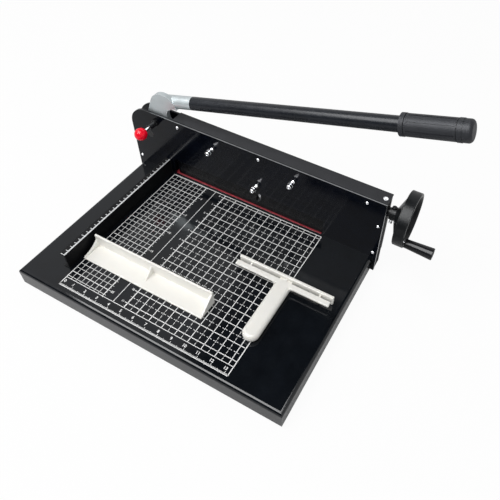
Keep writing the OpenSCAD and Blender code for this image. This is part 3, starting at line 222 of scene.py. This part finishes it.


# Each slot's colour, roughness and other settings
# Here edge colours are wear with a painted highlight, the recess settings paint shade into hollows, and
# the front plate's setting paints its edge highlight and end reflection
SLOTS = {
    "tray_paint": ((0.0046, 0.0060, 0.0084), 0.11, dict(
        vary=0.3, rough_vary=0.03, level=0.30, bump=0.05, bump_scale=700, fleck=0.02,
        edge_wear_and_highlight=GREY_EDGE, edge_wear_and_highlight_amount=0.2)),
    "gloss_paint": ((0.0022, 0.0032, 0.0062), 0.14, dict(
        vary=0.3, rough_vary=0.04, level=0.13, bump=0.04, bump_scale=420,
        edge_wear_and_highlight=GREY_EDGE, edge_wear_and_highlight_amount=0.35, plate_highlight=True)),
    "satin_paint": ((0.0026, 0.0028, 0.0036), 0.6, dict(
        vary=0.3, level=0.10, bump=0.12, edge_wear_and_highlight=GREY_EDGE, edge_wear_and_highlight_amount=0.5)),
    "cover_paint": ((0.026, 0.027, 0.031), 0.5, dict(
        vary=0.15, bump=0.5, bump_scale=1100, fleck=0.35, fleck_scale=800, level=0.2,
        edge_wear_and_highlight=GREY_EDGE, edge_wear_and_highlight_amount=0.3)),
    "tube_paint": ((0.0105, 0.0125, 0.0168), 0.28, dict(
        vary=0.2, level=0.2, bump=0.05, bump_scale=1200)),
    "wheel_paint": ((0.0085, 0.0098, 0.0108), 0.32, dict(
        vary=0.2, level=0.16, bump=0.25, bump_scale=1300, fleck=0.05, edge_wear_and_highlight=WHEEL_EDGE, edge_wear_and_highlight_amount=0.6)),
    "press_paint": ((0.0026, 0.0030, 0.0044), 0.26, dict(
        vary=0.25, level=0.14, bump=0.03, bump_scale=500, edge_wear_and_highlight=GREY_EDGE, edge_wear_and_highlight_amount=0.4)),
    "zinc_sheet": ((0.50, 0.51, 0.53), 0.38, dict(
        metal=1.0, vary=0.15, vary_scale=120, stretch=ALONG_X)),
    "zinc_steel": ((0.56, 0.57, 0.59), 0.32, dict(
        metal=1.0, vary_scale=200, recess_shade=0.7)),
    "machined_steel": ((0.55, 0.56, 0.58), 0.3, dict(
        metal=1.0, vary_scale=700, bump_scale=1500, stretch=ALONG_X, recess_shade=0.5)),
    "ground_blade": ((0.66, 0.67, 0.69), 0.2, dict(
        metal=1.0, vary=0.08, vary_scale=900, bump_scale=2500, stretch=ALONG_Z)),
    "dark_screws": ((0.0060, 0.0064, 0.0078), 0.25, dict(
        vary=0.25, level=0.25, edge_wear_and_highlight=GREY_EDGE, edge_wear_and_highlight_amount=0.6)),
    "bright_screws": ((0.74, 0.75, 0.77), 0.34, dict(
        metal=1.0, vary=0.06, vary_scale=300, recess_shade=0.95, recess_shade_reach=0.8)),
    "bright_chrome": ((0.84, 0.85, 0.87), 0.09, dict(
        metal=1.0, vary=0.04, vary_scale=200, rough_vary=0.03, bump=0.05, recess_shade=0.7)),
    "cast_silver": ((0.47, 0.515, 0.53), 0.33, dict(
        metal=0.6, level=0.3, vary=0.06, vary_scale=60, bump=0.14, fleck=0.04,
        edge_wear_and_highlight=CAST_EDGE, edge_wear_and_highlight_amount=0.6, edge_wear_and_highlight_radius=0.0018)),
    "bearing_bronze": ((0.55, 0.36, 0.16), 0.35, dict(
        metal=1.0, vary=0.15, vary_scale=150)),
    "foot_rubber": ((0.02, 0.02, 0.02), 0.75, dict(
        vary=0.25, bump=0.4, bump_scale=1500)),
    "grip_rubber": ((0.026, 0.028, 0.033), 0.48, dict(
        level=0.18, bump=0.3, bump_scale=1800)),
    "crank_plastic": ((0.008, 0.0085, 0.010), 0.24, dict(
        vary=0.2, level=0.22, bump=0.1, bump_scale=1200)),
    "red_ball": ((0.97, 0.004, 0.026), 0.16, dict(
        vary=0.03, bump=0.03, level=0.2, coat=0.08)),
    # Red darkened to the tone the stick shows in shade: painted shade
    "red_stick": ((0.30, 0.016, 0.028), 0.38, dict(
        vary=0.2, vary_scale=60, bump=0.4, bump_scale=400, stretch=ALONG_X)),
    "white_plastic": ((0.90, 0.887, 0.84), 0.38, dict(
        vary=0.02, bump=0.08, bump_scale=800, rough_vary=0.06, level=0.3, subsurface=0.05)),
}
FINISHES = {slot: finish(slot, colour, rough, **more) for slot, (colour, rough, more) in SLOTS.items()}

# ---------------------------------------------------------------- frame nodes

# Width of each node's rounded edges, in millimetres
BEVELS = {"base_tray": 0.5, "front_plate": 1.0, "back_plate": 0.8, "top_cover": 0.5, "side_fence": 0.5,
          "lever_head": 1.2, "paper_pusher": 0.5, "push_tool": 0.5, "hand_wheel": 0.6, "crank_grip": 0.5,
          "lever_grip": 0.4, "cutting_stick": 0.3, "right_post": 0.5, "left_post": 0.5, "knife_beam": 0.4,
          "press_plate": 0.4, "wheel_bolt": 0.4, "plunger_housing": 0.3, "shaft_bush": 0.4}
SMALL_BEVEL = 0.15
SHARP_ANGLE = math.radians(40)
FLAT_ANGLE = math.radians(0.3)
WELD_GAP = 0.002 * MM


def dress(node, name, slot):
    """Gives a CAD node its finish and soft edges, with flat faces joined first for even shading."""
    node.data.materials.clear()
    node.data.materials.append(FINISHES[slot])
    weld = node.modifiers.new("weld", "WELD")
    weld.merge_threshold = WELD_GAP
    flat = node.modifiers.new("flat", "DECIMATE")
    flat.decimate_type = "DISSOLVE"
    flat.angle_limit = FLAT_ANGLE
    bevel = node.modifiers.new("bevel", "BEVEL")
    bevel.width = BEVELS.get(name, SMALL_BEVEL) * MM
    bevel.segments = 2
    bevel.limit_method = "ANGLE"
    bevel.angle_limit = SHARP_ANGLE
    bevel.use_clamp_overlap = True
    bevel.miter_outer = "MITER_ARC"
    normals = node.modifiers.new("normals", "WEIGHTED_NORMAL")
    normals.weight = 100
    normals.keep_sharp = False


slot_of = {row["node"]: row["material_slot"] for row in frame["record"]["subparts"]}
for node_name, cad_node in nodes.items():
    dress(cad_node, node_name, slot_of[node_name])

# ---------------------------------------------------------------- printed scales

# Height of the print above its sheet, in metres
PRINT_LIFT = 0.04 * MM

# The print is drawn in millimetres from its own corner; DIGIT_EM and DIGIT_BOLD are in digit heights
GRID_FROM_STICK = 3
GRID_FROM_PLATE = 316
GRID_W = 337
GRID_H = 312
ROW_H = 16.5
MID_X = 101.6
THIN = 1.0
THICK = 1.5
MARGIN_LINE = 1.7
SMALL_TICK = 2.4
HALF_TICK = 4.0
FINE_LINE = 0.5
DIGIT_EM = 1.4
DIGIT_BOLD = 0.035

CM_X1 = 79
CM_TOP = 280.4
CM_COLUMNS = 8
CM_ROWS = range(-3, 27)
CM_LINE = 0.75
CM_STRONG_LINE = 1.2
CM_TICK_LINE = 0.7
CM_STRONG_TICK = 7.0
CM_DIGIT = 4.0
CM_DIGIT_GAP = 9.5

INCH_X0 = 124.4
INCH_TOP = 305.4
INCH_SHIFT = 2.6
INCH_COUNT = 13
INCH_GRID_START = 5
INCH_ROWS = 12
INCH_LINE = 1.25
INCH_TICK = 6.0
INCH_DIGIT = 3.6
INCH_DIGIT_GAP = 9.8
DASH_LINE = 0.85
DASH_UPRIGHT = 4.5
DASH_ACROSS = 3.1

RULER_DIGIT = 5.2
RULER_DIGIT_Y = 9.2
RULER_ZERO_X = 4.5
RULER_LINE = 0.8
RULER_INCH_TICK = 5.0
RULER_HALF_TICK = 3.4

# Distances of the fence's rule from the fence's right edge and ends
RULE_X1 = 0.7
RULE_X0 = 3.4
RULE_END = 0.6
RULE_PITCH = 9.5
RULE_TICK_LINE = 1.2
RULE_TICK_X = 7.5
RULE_STRONG_TICK_X = 9.5


def quad(mesh, x0, y0, x1, y1):
    """A flat rectangle of the print."""
    corners = [(x0, y0), (x1, y0), (x1, y1), (x0, y1)]
    mesh.faces.new([mesh.verts.new((x * MM, y * MM, 0.0)) for x, y in corners])


def across(mesh, y, x0, x1, w):
    """A line along X, of width w."""
    quad(mesh, x0, y - w / 2, x1, y + w / 2)


def upright(mesh, x, y0, y1, w):
    """A line along Y, of width w."""
    quad(mesh, x - w / 2, y0, x + w / 2, y1)


def dashes(start, stop, origin, pitch, length):
    """Ends of the dashes between start and stop that are centred on steps from origin."""
    step = math.ceil((start - origin) / pitch)
    while origin + step * pitch < stop:
        middle = origin + step * pitch
        yield max(start, middle - length / 2), min(stop, middle + length / 2)
        step += 1


def digits(mesh, number, x, y, height):
    """A number of the scale, centred on (x, y)."""
    curve = bpy.data.curves.new("digits", "FONT")
    curve.body = str(number)
    curve.size = height * DIGIT_EM * MM
    curve.align_x = "CENTER"
    curve.align_y = "CENTER"
    curve.resolution_u = 3
    curve.offset = DIGIT_BOLD * height * MM
    carrier = bpy.data.objects.new("digits", curve)
    flat = bpy.data.meshes.new_from_object(carrier)
    flat.transform(Matrix.Translation((x * MM, y * MM, 0.0)))
    mesh.from_mesh(flat)
    bpy.data.objects.remove(carrier)
    bpy.data.curves.remove(curve)
    bpy.data.meshes.remove(flat)


def fixed_piece(name, mesh, material, place):
    """The drawn mesh as an object that moves with the frame."""
    data = bpy.data.meshes.new(name)
    mesh.to_mesh(data)
    mesh.free()
    data.materials.append(material)
    piece = bpy.data.objects.new(name, data)
    piece.location = place
    scene.collection.objects.link(piece)
    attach(piece, "frame")
    return piece


def draw_border(mesh):
    """The outline of the print, with its ruler row and the line between its two grids."""
    for x in (0, GRID_W):
        upright(mesh, x, 0, GRID_H, THICK)
    across(mesh, 0, 0, GRID_W, THICK)
    across(mesh, GRID_H, 0, GRID_W, THICK)
    across(mesh, ROW_H, 0, GRID_W, THIN)
    upright(mesh, MID_X, ROW_H, GRID_H, THIN)


def draw_cm_grid(mesh):
    """Centimetre squares at the left, with a scale along their right side."""
    for i in range(1, CM_COLUMNS):
        upright(mesh, CM_X1 * i / CM_COLUMNS, ROW_H, GRID_H, CM_LINE)
    upright(mesh, CM_X1, ROW_H, GRID_H, MARGIN_LINE)
    for i in CM_ROWS:
        y = CM_TOP - 10 * i
        strong = i % 5 == 0
        across(mesh, y, 0, CM_X1, CM_STRONG_LINE if strong else CM_LINE)
        across(mesh, y, CM_X1, CM_X1 + (CM_STRONG_TICK if strong else HALF_TICK), CM_TICK_LINE)
        across(mesh, y - 5, CM_X1, CM_X1 + SMALL_TICK, FINE_LINE)
        if strong:
            digits(mesh, abs(i), CM_X1 + CM_DIGIT_GAP, y, CM_DIGIT)


def draw_inch_grid(mesh):
    """Inch squares at the right, each halved by dashes, with a scale along their left side."""
    xs = [INCH * n - INCH_SHIFT for n in range(INCH_GRID_START, INCH_COUNT + 1)]
    ys = [INCH_TOP - INCH * k for k in range(INCH_ROWS)]
    upright(mesh, INCH_X0, ROW_H, GRID_H, MARGIN_LINE)
    for x in xs[1:]:
        upright(mesh, x, ROW_H, GRID_H, INCH_LINE)
    for k, y in enumerate(ys):
        across(mesh, y, INCH_X0 - INCH_TICK, GRID_W, INCH_LINE)
        digits(mesh, k, INCH_X0 - INCH_DIGIT_GAP, y, INCH_DIGIT)
        for part in range(1, 4):
            tick_y = y - part * INCH / 4
            if tick_y > ROW_H:
                tick = HALF_TICK if part == 2 else SMALL_TICK
                across(mesh, tick_y, INCH_X0 - tick, INCH_X0, FINE_LINE)
    for x in xs:
        for y0, y1 in dashes(ROW_H, GRID_H, INCH_TOP - INCH / 2, INCH / 4, DASH_UPRIGHT):
            if x + INCH / 2 < GRID_W:
                upright(mesh, x + INCH / 2, y0, y1, DASH_LINE)
    for y in ys:
        if y - INCH / 2 > ROW_H:
            for x0, x1 in dashes(INCH_X0, GRID_W, xs[0] + INCH * 5 / 8, INCH / 4, DASH_ACROSS):
                across(mesh, y - INCH / 2, x0, x1, DASH_LINE)


def draw_ruler(mesh):
    """Inches with sixteenths along the front of the print."""
    for n in range(1, INCH_COUNT + 1):
        digits(mesh, n, INCH * n - INCH_SHIFT, RULER_DIGIT_Y, RULER_DIGIT)
    digits(mesh, 0, RULER_ZERO_X, RULER_DIGIT_Y, RULER_DIGIT)
    tick = 0
    while tick * INCH / 16 < GRID_W:
        tall = RULER_INCH_TICK if tick % 16 == 0 else RULER_HALF_TICK if tick % 8 == 0 else SMALL_TICK
        upright(mesh, tick * INCH / 16, 0, tall, RULER_LINE)
        tick += 1


def make_deck_scale():
    """The printed grids and rulers of the deck."""
    ink = finish("scale_ink", (0.93, 0.93, 0.92), 0.42, vary=0.10, vary_scale=90, bump=0.1)
    mesh = bmesh.new()
    draw_border(mesh)
    draw_cm_grid(mesh)
    draw_inch_grid(mesh)
    draw_ruler(mesh)
    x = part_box("cutting_stick")[0].x + GRID_FROM_STICK * MM
    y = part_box("front_plate")[0].y - GRID_FROM_PLATE * MM
    fixed_piece("deck_scale", mesh, ink, (x, y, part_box("base_tray")[1].z + PRINT_LIFT))


def make_fence_rule():
    """A line along the fence's right edge, with ticks to its left."""
    ink = finish("rule_ink", (0.62, 0.63, 0.64), 0.3, vary_scale=90, metal=0.4)
    low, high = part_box("side_fence")
    length = (high.y - low.y) / MM
    width = (high.x - low.x) / MM
    mesh = bmesh.new()
    quad(mesh, width - RULE_X0, RULE_END, width - RULE_X1, length - RULE_END)
    for step in range(int(length / RULE_PITCH) + 1):
        y = RULE_TICK_LINE + RULE_PITCH * step
        tick_x = RULE_STRONG_TICK_X if step % 5 == 0 else RULE_TICK_X
        across(mesh, y, width - tick_x, width - RULE_X0, RULE_TICK_LINE)
    fixed_piece("fence_rule", mesh, ink, (low.x, low.y, high.z + PRINT_LIFT))


make_deck_scale()
make_fence_rule()

# ---------------------------------------------------------------- screw threads

THREAD_PITCH = 1.0 * MM
THREAD_ROOT = 2.97 * MM
THREAD_CREST = 3.30 * MM
THREAD_STEPS = 24
THREAD_GAP = 0.5 * MM
CAP_R = 4.5 * MM
# Half the foot of the ridge, in pitches
THREAD_SHIFT = 0.4
# Place of the middle screw, as a share of the way from the left one to the right one
MIDDLE_SCREW = 0.5523


def thread(mesh, x, z, y0, y1):
    """A helical ridge round an axis along Y, closed at both ends."""
    profile = ((THREAD_ROOT, -THREAD_SHIFT), (THREAD_CREST, 0.0), (THREAD_ROOT, THREAD_SHIFT))
    sides = len(profile)
    count = int((y1 - y0) / THREAD_PITCH * THREAD_STEPS)
    rings = []
    for step in range(count + 1):
        angle = 2 * math.pi * step / THREAD_STEPS
        y = y0 + THREAD_PITCH * step / THREAD_STEPS
        ring = []
        for radius, shift in profile:
            spot = (x + radius * math.cos(angle), y + shift * THREAD_PITCH, z + radius * math.sin(angle))
            ring.append(mesh.verts.new(spot))
        rings.append(ring)
    for low, high in zip(rings, rings[1:]):
        for i in range(sides):
            after = (i + 1) % sides
            mesh.faces.new((low[i], low[after], high[after], high[i]))
    mesh.faces.new(reversed(rings[0]))
    mesh.faces.new(rings[-1])
    bmesh.ops.recalc_face_normals(mesh, faces=mesh.faces)


def make_threads():
    """Ridges on the three adjuster screws, between their nuts and the plate."""
    low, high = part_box("adjuster_screws")
    x0, x1 = low.x + CAP_R, high.x - CAP_R
    upper, lower = high.z - CAP_R, low.z + CAP_R
    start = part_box("adjuster_nuts")[1].y + THREAD_GAP
    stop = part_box("front_plate")[0].y - THREAD_GAP
    mesh = bmesh.new()
    for x, z in ((x0, upper), (x0 + MIDDLE_SCREW * (x1 - x0), lower), (x1, upper)):
        thread(mesh, x, z, start, stop)
    piece = fixed_piece("adjuster_threads", mesh, FINISHES["bright_chrome"], (0, 0, 0))


make_threads()

# ---------------------------------------------------------------- studio

FLOOR_SIZE = 8.0
FLOOR_COLOUR = (0.92, 0.92, 0.92, 1.0)
FLOOR_TO_EYE = 0.94
FLOOR_TO_GLOSS = 0.06
WORLD_FILL = 0.5
DARK = 0.02


def white_background(tree, shader_output, to_eye, to_gloss):
    """Mixes the shader with a second one, by one share to the eye and by another in reflections."""
    path = add(tree, "ShaderNodeLightPath")
    mirrored = combine(tree, "MAXIMUM", path.outputs["Is Glossy Ray"], path.outputs["Is Transmission Ray"])
    gloss = add(tree, "ShaderNodeMath", {1: to_gloss}, operation="MULTIPLY")
    tree.links.new(mirrored, gloss.inputs[0])
    part = add(tree, "ShaderNodeMath", {1: to_eye}, operation="MULTIPLY_ADD")
    tree.links.new(path.outputs["Is Camera Ray"], part.inputs[0])
    tree.links.new(gloss.outputs["Value"], part.inputs[2])
    mix = add(tree, "ShaderNodeMixShader")
    tree.links.new(part.outputs["Value"], mix.inputs["Fac"])
    tree.links.new(shader_output, mix.inputs[1])
    return mix


def studio_piece(name, data):
    """A part of the studio with an empty material, and that material's nodes."""
    piece = bpy.data.objects.new(name, data)
    scene.collection.objects.link(piece)
    material = bpy.data.materials.new(name)
    material.use_nodes = True
    material.node_tree.nodes.clear()
    data.materials.append(material)
    return piece, material.node_tree


def make_floor():
    """A floor that takes shadows and is white to the eye."""
    mesh = bmesh.new()
    bmesh.ops.create_grid(mesh, x_segments=8, y_segments=8, size=FLOOR_SIZE)
    data = bpy.data.meshes.new("floor")
    mesh.to_mesh(data)
    mesh.free()
    floor, tree = studio_piece("floor", data)
    matte = add(tree, "ShaderNodeBsdfDiffuse", {"Color": FLOOR_COLOUR})
    glow = add(tree, "ShaderNodeEmission", {"Color": WHITE, "Strength": 1.0})
    mix = white_background(tree, matte.outputs["BSDF"], FLOOR_TO_EYE, FLOOR_TO_GLOSS)
    tree.links.new(glow.outputs["Emission"], mix.inputs[2])
    output = add(tree, "ShaderNodeOutputMaterial")
    tree.links.new(mix.outputs["Shader"], output.inputs["Surface"])


def make_world():
    """A soft fill from all round, white to the eye and in reflections."""
    world = bpy.data.worlds.new("studio")
    world.use_nodes = True
    tree = world.node_tree
    tree.nodes.clear()
    fill = add(tree, "ShaderNodeBackground", {"Color": WHITE, "Strength": WORLD_FILL})
    white = add(tree, "ShaderNodeBackground", {"Color": WHITE, "Strength": 1.0})
    mix = white_background(tree, fill.outputs["Background"], 1.0, 1.0)
    tree.links.new(white.outputs["Background"], mix.inputs[2])
    output = add(tree, "ShaderNodeOutputWorld")
    tree.links.new(mix.outputs["Shader"], output.inputs["Surface"])
    scene.world = world


def level_card(x0, y0, x1, y1, z):
    """Corners of a card that lies level."""
    return [(x0, y0, z), (x1, y0, z), (x1, y1, z), (x0, y1, z)]


def upright_card(x0, z0, x1, z1, y):
    """Corners of a card that stands along X."""
    return [(x0, y, z0), (x1, y, z0), (x1, y, z1), (x0, y, z1)]


def make_card(name, corners, strength):
    """A studio card that only reflections show, dark or bright, so that gloss has some contrast."""
    data = bpy.data.meshes.new(name)
    data.from_pydata(corners, [], [(0, 1, 2, 3)])
    card, tree = studio_piece(name, data)
    glow = add(tree, "ShaderNodeEmission", {"Color": WHITE, "Strength": strength})
    output = add(tree, "ShaderNodeOutputMaterial")
    tree.links.new(glow.outputs["Emission"], output.inputs["Surface"])
    card.visible_camera = False
    card.visible_diffuse = False
    card.visible_shadow = False


def make_lamp(name, place, target, size, radiance):
    """A lamp that looks at target, with its power from its size and the brightness of its face.

    Reflections don't show it, because the cards stand for the studio there.
    """
    data = bpy.data.lights.new(name, "AREA")
    data.shape = "RECTANGLE"
    data.size, data.size_y = size
    data.energy = radiance * math.pi * data.size * data.size_y
    lamp = bpy.data.objects.new(name, data)
    lamp.location = place
    lamp.rotation_mode = "QUATERNION"
    lamp.rotation_quaternion = (Vector(target) - Vector(place)).to_track_quat("-Z", "Y")
    lamp.visible_glossy = False
    scene.collection.objects.link(lamp)


def make_camera():
    """The photograph's viewpoint."""
    data = bpy.data.cameras.new("camera")
    data.sensor_width = 36.0
    data.lens = 38.490
    data.shift_x = -0.11078
    data.shift_y = -0.115425
    camera = bpy.data.objects.new("camera", data)
    place = Vector((0.359802, -0.472876, 0.800530))
    right = Vector((0.883094, 0.467202, 0.043205))
    down = Vector((0.357420, -0.610203, -0.707038))
    ahead = Vector((-0.303966, 0.639824, -0.705854))
    turn = Matrix((right, -down, -ahead)).transposed().to_4x4()
    camera.matrix_world = Matrix.Translation(place) @ turn
    scene.collection.objects.link(camera)
    scene.camera = camera


make_floor()
make_world()
make_card("ceiling", level_card(-1.1, 0.0, 2.4, 1.75, 2.7), DARK)
make_card("screen", upright_card(-3.0, 0.02, 3.0, 2.1, -2.9), DARK)
make_card("softbox", level_card(-2.2, -2.6, 0.4, 0.0, 2.35), 13.0)
make_card("sweep", level_card(0.302, 0.17, 0.9, 1.0, 0.002), 0.9)
make_lamp("key", (-1.0, -1.9, 0.95), (0, 0, 0.08), (1.2, 1.2), 1.85)
make_lamp("top", (-0.5, -0.5, 2.25), (-0.5, -0.5, 0), (1.6, 0.8), 6.0)
make_camera()
scene.view_settings.view_transform = "Standard"
